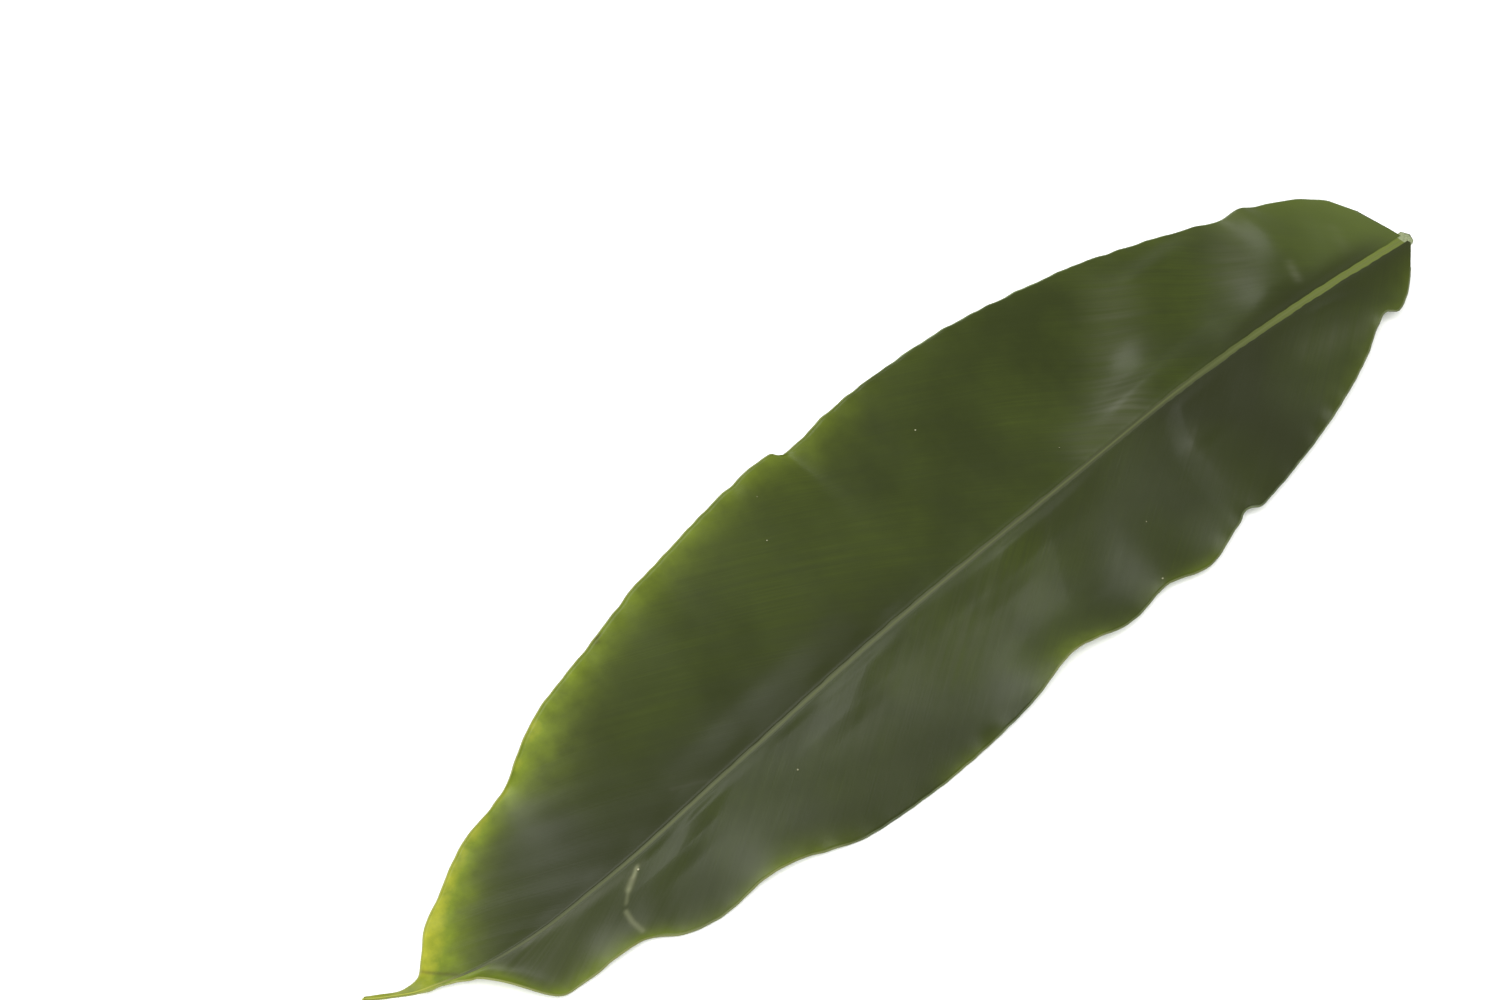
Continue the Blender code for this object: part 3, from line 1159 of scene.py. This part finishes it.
def make_piece(
    name: str,
    points: np.ndarray,
    faces: list[list[int]],
    slots: Any,
    measures: dict[str, np.ndarray],
    finishes: tuple[Material, ...],
) -> Piece:
    """Makes a piece from its points and faces.

    Args:
        name: The piece's name.
        points: Its points, in plan mm.
        faces: Its faces, by their corners' places among the points.
        slots: Which finish each face has.
        measures: The mesh's own measures by name, for the materials and the node trees.
        finishes: The finishes.

    Returns:
        The new piece.
    """
    mesh = bpy.data.meshes.new(name)
    mesh.from_pydata(to_part(points).tolist(), [], faces)
    mesh.polygons.foreach_set("material_index", slots)
    mesh.shade_smooth()
    for label, values in measures.items():
        attribute = mesh.attributes.new(label, "FLOAT", "POINT")
        attribute.data.foreach_set("value", np.ascontiguousarray(values, np.float32).ravel())
    for finish in finishes:
        mesh.materials.append(finish)
    return put(name, mesh)


def keep_piece(piece: Piece) -> None:
    """Lets a finished piece stand for the solid leaf and ride on the one body.

    Args:
        piece: The piece.
    """
    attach(piece, "root")
    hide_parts("leaf")
    triangles = sum(len(face.vertices) - 2 for face in piece.data.polygons)
    LOG.info("%s: %d triangles", piece.name, triangles)


@dataclass(frozen=True)
class Blade:
    """One half of the blade as a thin closed shell, its grid along the veins.

    Attributes:
        half: Which half, with its plan and its heights.
        thickness: The blade's thickness, in mm.
        line_count: How many grid lines follow the veins.
        columns: How many steps each line has from the midrib to the edge.
        side_columns: How many steps the shell has over the midrib's side.
        side_starts: Where that side begins, as a share of the midrib's half width.
        side_wanders: By how much that comes and goes.
        side_waves: The shortest and the longest wave in which it does, in mm.
        side_lift: How high that side lies over the midrib, in mm.
        side_dip: How far its first column dips back, into the midrib, in mm.
        slim_from: The station where the rim has lost half of what it loses, in mm.
        slim_over: Over what length it does, in mm.
        slimming: What share it loses.
        bulge: How far the edge is rounded outwards, in mm.
    """

    half: Half
    thickness: float = BLADE
    line_count: int = 640
    columns: int = 71
    side_columns: int = 4
    side_starts: float = 0.45
    side_wanders: float = 0.07
    side_waves: tuple[float, float] = (2.5, 9)
    side_lift: float = 0.015
    side_dip: float = 0.035
    slim_from: float = 348
    slim_over: float = 24
    slimming: float = 0.55
    bulge: float = 0.1

    def vein_ends(self) -> tuple[np.ndarray, np.ndarray]:
        """The two ends of each grid line.

        Returns:
            The stations of the lines on the midrib, and on the edge.
        """
        samples, reach, rounds = 6000, 60, 3
        table = self.half.veins
        roots = np.linspace(table[0][0], table[-1][0], samples)
        ends = np.interp(roots, *np.array(table, float).T)
        kernel = np.hanning(2 * reach + 1)
        for _ in range(rounds):
            padded = np.pad(ends, reach, mode="reflect", reflect_type="odd")
            ends = np.convolve(padded, kernel / kernel.sum(), mode="valid")
        middle = (roots + ends) / 2
        even = np.linspace(middle[0], middle[-1], self.line_count)
        return np.interp(even, middle, roots), np.interp(even, middle, ends)

    def upper_side(self) -> tuple[np.ndarray, dict[str, np.ndarray]]:
        """The upper side's points and their measures.

        Returns:
            The points in plan millimetres by line and column, and each measure by name.
        """
        half = self.half
        roots, ends = self.vein_ends()
        share = np.linspace(0, 1, self.columns)[None, :]
        root = np.repeat(roots[:, None], self.columns, axis=1)
        along, across = half.on_vein(root, ends[:, None], share)
        out = np.abs(across - half.beside_keel(root))
        calm = half.calm_edge(along)
        step = 2.0
        slope = (half.calm_edge(along + step) - half.calm_edge(along - step)) / (2 * step)
        inside = np.maximum(half.sign * (calm - across), 0) / np.hypot(1, slope)
        spots = Spots(root, along, across, out, inside)
        height = half.lie(along, across) + half.relief(spots)
        points = np.stack([along, across, np.maximum(height, FLAT_GAP) + self.thickness], -1)

        # The first columns reach in over the midrib's side, and the very first dips into it.
        wander = ripple(roots, 0 * roots, *self.side_waves, SEED + 2 + half.sign)
        starts = self.side_starts + self.side_wanders * wander
        reach = np.linspace(0, 1, self.side_columns + 1)[None, :-1]
        beside = starts[:, None] + (1 - starts[:, None]) * reach
        middle = smooth(MIDRIB_PLAN, roots)[:, None]
        over = middle + half.sign * smooth(KEEL_HALF_WIDTH, roots)[:, None] * beside
        lying = on_table(midrib_height(roots))[:, None] + FLAT_GAP + self.thickness
        level = lying - channel_depth(roots)[:, None] * groove(beside) + self.side_lift
        level[:, 0] -= self.side_dip
        sides = np.stack([np.repeat(roots[:, None], self.side_columns, axis=1), over, level], -1)
        lines = np.arange(self.line_count, dtype=float)
        measures = {
            "vein": root,
            "out": out,
            "slim": 1 - self.slimming * blend(along - self.slim_from, self.slim_over),
            "line": np.repeat(lines[:, None], self.columns, axis=1),
            **half.changes(spots),
        }
        repeats = np.r_[self.side_columns + 1, np.ones(self.columns - 1, int)]
        measures = {name: np.repeat(value, repeats, axis=1) for name, value in measures.items()}
        return np.concatenate([sides, points], axis=1), measures

    def build(self, upper: Material, under: Material) -> Piece:
        """Builds the closed shell and dresses it.

        Args:
            upper: The upper side's finish.
            under: The underside's finish.

        Returns:
            The finished piece.
        """
        top, measures = self.upper_side()
        lines, columns = top.shape[:2]
        sign = self.half.sign
        normal = np.cross(np.gradient(top, axis=0), np.gradient(top, axis=1)) * sign
        normal /= np.linalg.norm(normal, axis=2, keepdims=True)
        bottom = top - normal * self.thickness
        bottom[..., 2] = np.maximum(bottom[..., 2], LEAST_GAP)
        outward = top[:, -1] - top[:, -2]
        outward /= np.linalg.norm(outward, axis=1, keepdims=True)
        middle = (top[:, -1] + bottom[:, -1]) / 2 + outward * self.bulge
        points = np.concatenate([top.reshape(-1, 3), bottom.reshape(-1, 3), middle])

        count = lines * columns
        above = np.arange(count).reshape(lines, columns)
        below = above + count
        rim = np.arange(lines) + 2 * count
        here, there = slice(None, -1), slice(1, None)
        upper_sides = (
            (above[here, here], above[there, here], above[there, there], above[here, there]),
            (above[here, -1], above[there, -1], rim[there], rim[here]),
        )
        lower_sides = (
            (below[here, here], below[here, there], below[there, there], below[there, here]),
            (rim[here], rim[there], below[there, -1], below[here, -1]),
            (above[here, 0], below[here, 0], below[there, 0], above[there, 0]),
            (above[0, here], above[0, there], below[0, there], below[0, here]),
            (above[-1, there], above[-1, here], below[-1, here], below[-1, there]),
        )
        faces = [np.stack(corners, -1).reshape(-1, 4) for corners in upper_sides + lower_sides]
        upper_count = sum(len(part) for part in faces[:len(upper_sides)])
        faces.append(np.array([
            [above[0, -1], rim[0], below[0, -1]],
            [above[-1, -1], below[-1, -1], rim[-1]],
        ]))
        listed = [face for part in faces for face in part[:, ::sign].tolist()]
        slots = np.ones(len(listed), np.int32)
        slots[:upper_count] = 0
        measures = {
            name: np.concatenate([value.ravel(), value.ravel(), value[:, -1]])
            for name, value in measures.items()
        }
        measures["underside"] = np.repeat([0.0, 1.0, 0.5], [count, count, lines])
        measures["rim"] = np.repeat([0.0, 1.0], [2 * count, lines])
        name = f"blade_{self.half.name}"
        return make_piece(name, points, listed, slots, measures, (upper, under))


@dataclass(frozen=True)
class Midrib:
    """The midrib: a grooved band above and a keel below, with a pale cut end.

    Attributes:
        station_step: The distance between its rings, in mm.
        top_points: How many points cross the groove.
        keel_points: How many points go round the keel.
        fibres: How many fibres stand out of the keel, twice over.
        fibre_relief: How far they stand out, in mm.
        stub: How far the cut end stands out past the blade, in mm.
        stub_rounding: How much of that is lost at its sides.
        cut_rings: The sizes of the rings that close the cut end, as shares of it.
        cut_depth: How far the cut end is hollowed, in mm.
        cut_unevenness: How far it comes and goes from that, in mm.
        cut_reach: How far past the blade's start the cut end's finish goes, in mm.
        flank_faces: How many faces beside the keel still have the groove's finish.
    """

    station_step: float = 0.9
    top_points: int = 17
    keel_points: int = 23
    fibres: int = 22
    fibre_relief: float = 0.05
    stub: float = 2.5
    stub_rounding: float = 0.5
    cut_rings: tuple[float, ...] = (0.82, 0.6, 0.38, 0.18)
    cut_depth: float = 0.15
    cut_unevenness: float = 0.06
    cut_reach: float = 0.4
    flank_faces: int = 3

    def ring(self, station: float) -> tuple[np.ndarray, np.ndarray]:
        """One ring round the midrib, from its left side over the top and back under the keel.

        Args:
            station: The ring's station, less than the blade's first where the end stands out.

        Returns:
            The ring's points in plan mm, and each one's place across, from -1 to 1.
        """
        first = MIDRIB_PLAN[0][0]
        root = max(station, first)
        channel = channel_depth(root)
        over = np.linspace(1, -1, self.top_points)
        turn = np.linspace(0, np.pi, self.keel_points + 2)[1:-1]
        beside = np.r_[over, -np.cos(turn)]
        height = on_table(midrib_height(root)) + FLAT_GAP
        top = height + BLADE - channel * groove(over)
        fibres = self.fibre_relief * np.cos(turn * self.fibres) * np.sin(turn)
        under = height - (channel + smooth(KEEL_DEPTH, root)) * np.sin(turn) + fibres
        along = np.full(len(beside), float(station))
        if station < first:
            along += (first - station) * self.stub_rounding * np.abs(beside)
        across = smooth(MIDRIB_PLAN, root) + smooth(KEEL_HALF_WIDTH, root) * beside
        return np.stack([along, across, np.maximum(np.r_[top, under], LEAST_GAP)], -1), beside

    def build(self, finishes: tuple[Material, ...]) -> Piece:
        """Builds the closed body and dresses it.

        Args:
            finishes: The groove's, the keel's and the cut end's finish.

        Returns:
            The finished piece.
        """
        groove_slot, keel_slot, cut_slot = range(3)
        first, last = MIDRIB_PLAN[0][0], MIDRIB_PLAN[-1][0]
        start = first - self.stub
        stations = np.linspace(start, last, round((last - start) / self.station_step))
        rings, places = zip(*(self.ring(station) for station in stations))
        size = len(rings[0])
        total = size * len(stations)
        index = np.arange(total).reshape(len(stations), size)
        following = np.roll(index, -1, axis=1)
        corners = (index[:-1], following[:-1], following[1:], index[1:])
        faces = np.stack(corners, -1).reshape(-1, 4).tolist()
        place = np.arange(size)
        keel_starts = self.top_points - 1 + self.flank_faces
        on_keel = (place >= keel_starts) & (place < size - self.flank_faces)
        facing = np.tile(np.where(on_keel, keel_slot, groove_slot), (len(stations) - 1, 1))
        facing[stations[:-1] < first + self.cut_reach] = cut_slot
        slots = facing.ravel().tolist()

        # The cut end in smaller rings round its middle, slightly uneven, and the tip closed.
        swing = self.cut_unevenness
        draw = np.random.default_rng(SEED)
        more: list[np.ndarray] = []
        outer = index[0]
        middle = rings[0].mean(axis=0)
        for share in self.cut_rings:
            ring = middle + (rings[0] - middle) * share
            ring[:, 0] += self.cut_depth + draw.uniform(-swing, swing, size)
            inner = np.arange(total, total + size)
            faces += np.stack([outer, inner, np.roll(inner, -1), np.roll(outer, -1)], -1).tolist()
            slots += [cut_slot] * size
            more.append(ring)
            outer = inner
            total += size
        faces += [outer[::-1].tolist(), index[-1].tolist()]
        slots += [cut_slot, keel_slot]
        points = np.concatenate([*rings, *more])
        beside = np.concatenate([*places, *[places[0]] * len(more)])
        measures = {"along": points[:, 0], "beside": beside, "off_centre": np.abs(beside)}
        return make_piece("midrib", points, faces, slots, measures, finishes)


class NodeTool:
    """A Geometry Nodes tree with named inputs, put on a mesh to make a piece."""

    KINDS = {int: "NodeSocketInt", float: "NodeSocketFloat", Material: "NodeSocketMaterial"}

    def __init__(self, name: str, finish: Material, sizes: dict[str, int | float]) -> None:
        """Starts the tree.

        Args:
            name: The tree's name.
            finish: The finish of what it makes.
            sizes: The value of each of its inputs, by name.
        """
        self.values = {**sizes, "Material": finish}
        self.tree = bpy.data.node_groups.new(name, "GeometryNodeTree")
        face = self.tree.interface
        face.new_socket("Geometry", in_out="INPUT", socket_type="NodeSocketGeometry")
        for label, value in self.values.items():
            face.new_socket(label, in_out="INPUT", socket_type=self.KINDS[type(value)])
        face.new_socket("Geometry", in_out="OUTPUT", socket_type="NodeSocketGeometry")
        self.given = add(self.tree, "NodeGroupInput").node.outputs

    def sweep(
        self, chosen: Socket, radius: Socket, sides: Socket, steps: Socket | None = None
    ) -> Socket:
        """Sweeps a round section along edges of the mesh, with closed ends.

        Args:
            chosen: Which edges to follow.
            radius: The section's radius along them, in metres.
            sides: How many sides the section has.
            steps: How many points each path gets, or nothing to keep the mesh's own.

        Returns:
            The swept mesh's output.
        """
        inputs = {"Mesh": self.given["Geometry"], "Selection": chosen}
        path = add(self.tree, "GeometryNodeMeshToCurve", inputs)
        if steps is not None:
            path = add(self.tree, "GeometryNodeResampleCurve", {"Curve": path, "Count": steps})
        inputs = {"Resolution": sides, "Radius": 1.0}
        section = add(self.tree, "GeometryNodeCurvePrimitiveCircle", inputs)
        inputs = {"Curve": path, "Profile Curve": section, "Scale": radius, "Fill Caps": True}
        return add(self.tree, "GeometryNodeCurveToMesh", inputs)

    def run(self, geometry: Socket, source: bpy.types.Mesh, name: str) -> Piece:
        """Ends the tree with real geometry in its finish, and runs it on a mesh.

        Args:
            geometry: The geometry to give out.
            source: The mesh that the tree works from.
            name: The new piece's name.

        Returns:
            The result as a piece with a plain mesh.
        """
        real = add(self.tree, "GeometryNodeRealizeInstances", {"Geometry": geometry})
        soft = add(self.tree, "GeometryNodeSetShadeSmooth", {0: real})
        inputs = {"Geometry": soft, "Material": self.given["Material"]}
        add(self.tree, "NodeGroupOutput", {0: add(self.tree, "GeometryNodeSetMaterial", inputs)})
        holder = put(name + "_source", source)
        modifier = holder.modifiers.new(name, "NODES")
        modifier.node_group = self.tree
        for item in self.tree.interface.items_tree:
            if item.in_out == "INPUT" and item.name in self.values:
                modifier[item.identifier] = self.values[item.name]
        graph = bpy.context.evaluated_depsgraph_get()
        mesh = bpy.data.meshes.new_from_object(holder.evaluated_get(graph))
        mesh.name = name
        bpy.data.objects.remove(holder)
        return put(name, mesh)


@dataclass(frozen=True)
class VeinRidges:
    """The ridges that the veins make on the underside, each swept along its grid line.

    Attributes:
        every: How many grid lines apart the ridges are.
        radius: A ridge's radius at the midrib, in mm.
        taper: How much of the radius is lost on the way to the edge.
        steps: How many points a ridge has.
        sides: How many sides its section has.
    """

    every: float = 4.0
    radius: float = 0.17
    taper: float = 0.55
    steps: int = 44
    sides: int = 5

    def build(self, blade: Piece, finish: Material) -> Piece:
        """Lays the ridges under one half of the blade.

        Args:
            blade: The half of the blade.
            finish: The ridges' finish.

        Returns:
            The finished piece.
        """
        sizes = {
            "Every": self.every, "Radius": self.radius * MM, "Taper": self.taper,
            "Steps": self.steps, "Sides": self.sides,
        }
        tool = NodeTool("vein_ridges", finish, sizes)
        tree, given = tool.tree, tool.given
        line, under = (
            add(tree, "GeometryNodeInputNamedAttribute", {"Name": name}, data_type="FLOAT")
            for name in ("line", "underside")
        )
        left_over = add(tree, "ShaderNodeMath", {0: line, 1: given["Every"]}, operation="MODULO")
        inputs = {0: left_over, 1: NEARLY_NONE}
        on_line = add(tree, "FunctionNodeCompare", inputs, operation="LESS_THAN")
        inputs = {0: under, 1: NEARLY_FULL}
        below = add(tree, "FunctionNodeCompare", inputs, operation="GREATER_THAN")
        chosen = add(tree, "FunctionNodeBooleanMath", {0: on_line, 1: below}, operation="AND")
        place = add(tree, "GeometryNodeSplineParameter", out="Factor")
        lost = add(tree, "ShaderNodeMath", {0: place, 1: given["Taper"]}, operation="MULTIPLY")
        kept = add(tree, "ShaderNodeMath", {0: 1.0, 1: lost}, operation="SUBTRACT")
        radius = add(tree, "ShaderNodeMath", {0: kept, 1: given["Radius"]}, operation="MULTIPLY")
        swept = tool.sweep(chosen, radius, given["Sides"], given["Steps"])
        return tool.run(swept, blade.data.copy(), blade.name.replace("blade", "veins_under"))


@dataclass(frozen=True)
class Rim:
    """The pale thickened rim, swept along the edge.

    Attributes:
        radius: The rim's radius, in mm.
        unevenness: How much of the radius comes and goes.
        sides: How many sides its section has.
        patch: Over what length it comes and goes, in mm.
    """

    radius: float = 0.27
    unevenness: float = 0.3
    sides: int = 8
    patch: float = 4.0

    def build(self, blade: Piece, finish: Material) -> Piece:
        """Lays the rim on one half of the blade.

        Args:
            blade: The half of the blade.
            finish: The rim's finish.

        Returns:
            The finished piece.
        """
        sizes = {"Radius": self.radius * MM, "Unevenness": self.unevenness, "Sides": self.sides}
        tool = NodeTool("leaf_rim", finish, sizes)
        tree, given = tool.tree, tool.given
        rim, slim = (
            add(tree, "GeometryNodeInputNamedAttribute", {"Name": name}, data_type="FLOAT")
            for name in ("rim", "slim")
        )
        inputs = {0: rim, 1: NEARLY_FULL}
        chosen = add(tree, "FunctionNodeCompare", inputs, operation="GREATER_THAN")
        noise = add(tree, "ShaderNodeTexNoise", {"Scale": 1 / (self.patch * MM), "Detail": 2.0})
        swing = add(tree, "ShaderNodeMath", {0: noise, 1: 0.5}, operation="SUBTRACT")
        inputs = {0: swing, 1: given["Unevenness"], 2: 1.0}
        radius = add(tree, "ShaderNodeMath", inputs, operation="MULTIPLY_ADD")
        for factor in (given["Radius"], slim):
            radius = add(tree, "ShaderNodeMath", {0: radius, 1: factor}, operation="MULTIPLY")
        swept = tool.sweep(chosen, radius, given["Sides"])
        return tool.run(swept, blade.data.copy(), blade.name.replace("blade", "rim"))


@dataclass(frozen=True)
class Specks:
    """Specks of dust and sap that lie on the upper side.

    Attributes:
        places: Their places in plan, in mm.
        smallest: The smallest speck's radius, in mm.
        largest: The largest speck's radius, in mm.
        flatness: A speck's thickness as a share of its width.
        lift: How high a speck's middle lies over the blade, in mm.
    """

    places: Points = (
        (29.5, -18.5), (24.6, -5.8), (128.4, -8.1), (129.1, 23.6), (140.0, 39.4), (201.6, -43.4),
        (208.0, -32.5), (155.2, -34.2), (36.5, -9.5), (292.5, 17.5), (71.0, -30.0), (246.0, 21.0),
    )
    smallest: float = 0.12
    largest: float = 0.3
    flatness: float = 0.35
    lift: float = 0.16

    def build(self, finish: Material) -> Piece:
        """Lays the specks on the blade.

        Args:
            finish: The specks' finish.

        Returns:
            The finished piece.
        """
        spots = []
        for along, across in self.places:
            half = LEFT if across > smooth(MIDRIB_PLAN, along) else RIGHT
            height = half.lie(np.array([along]), np.array([across]))[0]
            spots.append([along, across, height + BLADE + self.lift])
        mesh = bpy.data.meshes.new("specks")
        mesh.from_pydata(to_part(np.array(spots)).tolist(), [], [])
        sizes = {
            "Smallest": self.smallest * MM, "Largest": self.largest * MM,
            "Flatness": self.flatness, "Seed": SEED,
        }
        tool = NodeTool("specks", finish, sizes)
        tree, given = tool.tree, tool.given
        grain = add(tree, "GeometryNodeMeshIcoSphere", {"Radius": 1.0, "Subdivisions": 2})
        inputs = {2: given["Smallest"], 3: given["Largest"], "Seed": given["Seed"]}
        size = add(tree, "FunctionNodeRandomValue", inputs, 1, data_type="FLOAT")
        low = add(tree, "ShaderNodeMath", {0: size, 1: given["Flatness"]}, operation="MULTIPLY")
        scale = add(tree, "ShaderNodeCombineXYZ", {"X": size, "Y": size, "Z": low})
        inputs = {"Points": given["Geometry"], "Instance": grain, "Scale": scale}
        placed = add(tree, "GeometryNodeInstanceOnPoints", inputs)
        return tool.run(placed, mesh, "specks")


@dataclass(frozen=True)
class Studio:
    """The pale table, the soft lights and the camera.

    Attributes:
        eye: Where the camera stands, in the part's own metres.
        target: What it looks at.
        lens: Its focal length, in mm.
        lamps: The large soft lights as (name, place, width and height in metres, power in watts).
        surroundings: How bright the room around is.
        table_reach: How far the table reaches from the middle, in metres.
        table_top: The table's height, in metres, just under the leaf.
    """

    eye: tuple[float, float, float] = (0.33476, 0.31254, 0.57245)
    target: tuple[float, float, float] = (0.01597, -0.04677, 0.0)
    lens: float = 70.0
    lamps: tuple[tuple[str, tuple[float, float, float], float, float, float], ...] = (
        ("window", (-0.22, -0.86, 1.2), 0.95, 0.55, 10.5),
        ("soft_box", (0.85, 0.88, 2.05), 2.2, 2.2, 75.0),
    )
    surroundings: float = 0.72
    table_reach: float = 4.0
    table_top: float = -0.0001

    def aim(self, thing: Piece, place: Any, target: Any) -> None:
        """Stands a camera or light at a place and turns it to its target."""
        thing.location = place
        thing.rotation_euler = (Vector(target) - Vector(place)).to_track_quat("-Z", "Y").to_euler()

    def table(self) -> None:
        """Lays the pale table under the leaf: a matt white board, which shows soft shadows."""
        mesh = bpy.data.meshes.new("table")
        turns = ((-1, -1), (1, -1), (1, 1), (-1, 1))
        corners = [(x * self.table_reach, y * self.table_reach, self.table_top) for x, y in turns]
        mesh.from_pydata(corners, [], [(0, 1, 2, 3)])
        material, tree = start_material("table_matt_white_board")
        inputs = {"Base Color": linear("#fafafa"), "Roughness": 0.9, "Specular IOR Level": 0.1}
        feed(tree.nodes["Principled BSDF"], inputs)
        mesh.materials.append(material)
        table = put("table", mesh)

    def build(self) -> None:
        """Sets the table, the lights and the camera."""
        scene = bpy.context.scene
        self.table()
        for name, place, width, height, power in self.lamps:
            lamp = bpy.data.lights.new(name, "AREA")
            lamp.shape = "RECTANGLE"
            lamp.size = width
            lamp.size_y = height
            lamp.energy = power
            self.aim(put(name, lamp), place, (0, 0, 0))
        world = bpy.data.worlds.new("room")
        world.use_nodes = True
        inputs = {"Color": linear("#ffffff"), "Strength": self.surroundings}
        feed(world.node_tree.nodes["Background"], inputs)
        scene.world = world
        camera_data = bpy.data.cameras.new("camera")
        camera_data.lens = self.lens
        scene.camera = put("camera", camera_data)
        self.aim(scene.camera, self.eye, self.target)
        scene.view_settings.view_transform = "Standard"


def main() -> None:
    """Loads the solid, builds the leaf's pieces over it and sets the studio."""
    logging.basicConfig(level=logging.INFO, format="%(name)s: %(message)s")
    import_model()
    finish = {skin: skin.value.material() for skin in Skin}
    keep_piece(Midrib().build((finish[Skin.MIDRIB], finish[Skin.KEEL], finish[Skin.CUT])))
    for half, rim in ((LEFT, Skin.RIM), (RIGHT, Skin.PALE_RIM)):
        blade = Blade(half).build(finish[Skin.UPPER], finish[Skin.UNDER])
        keep_piece(VeinRidges().build(blade, finish[Skin.RIDGE]))
        keep_piece(Rim().build(blade, finish[rim]))
        keep_piece(blade)
    keep_piece(Specks().build(finish[Skin.SPECK]))
    Studio().build()


if __name__ == "__main__":
    main()
